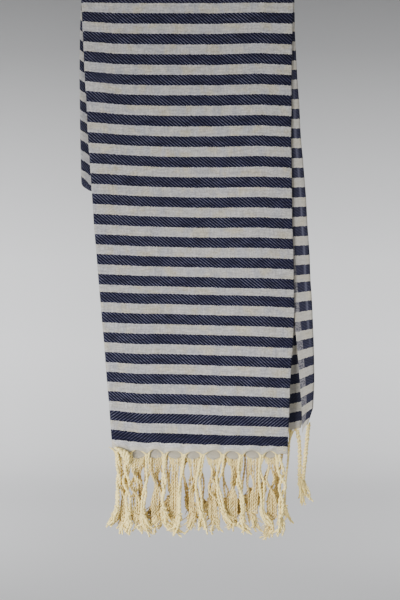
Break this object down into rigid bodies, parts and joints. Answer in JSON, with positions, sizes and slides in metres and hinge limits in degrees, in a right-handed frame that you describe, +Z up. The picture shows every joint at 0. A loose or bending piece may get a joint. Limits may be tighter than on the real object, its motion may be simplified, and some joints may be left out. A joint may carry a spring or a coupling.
{
  "type": "hammam towel",
  "caption": "Striped flat-woven cotton bath towel with knotted fringes, folded in four across and in two along, hung over a rod.",
  "frame": {"origin": "where the cloth's underside rests on top of an unseen rod, midway along the rod space", "axes": "+Z up along the hanging length, +X to the right as seen from the front panel, +Y away from the front panel towards the shorter back"},
  "size_m": [0.2968, 0.0666, 0.7204],
  "materials": {
    "striped_cotton": "matt flat weave in even navy and cream stripes across the width, with grey selvedges",
    "fringe_yarn": "matt natural cotton cords, twisted in pairs and knotted, with loose tails"
  },
  "bodies": {
    "root": {"towel_cloth": "striped_cotton", "fringe_front": "fringe_yarn", "fringe_inner": "fringe_yarn"}
  },
  "joints": []
}
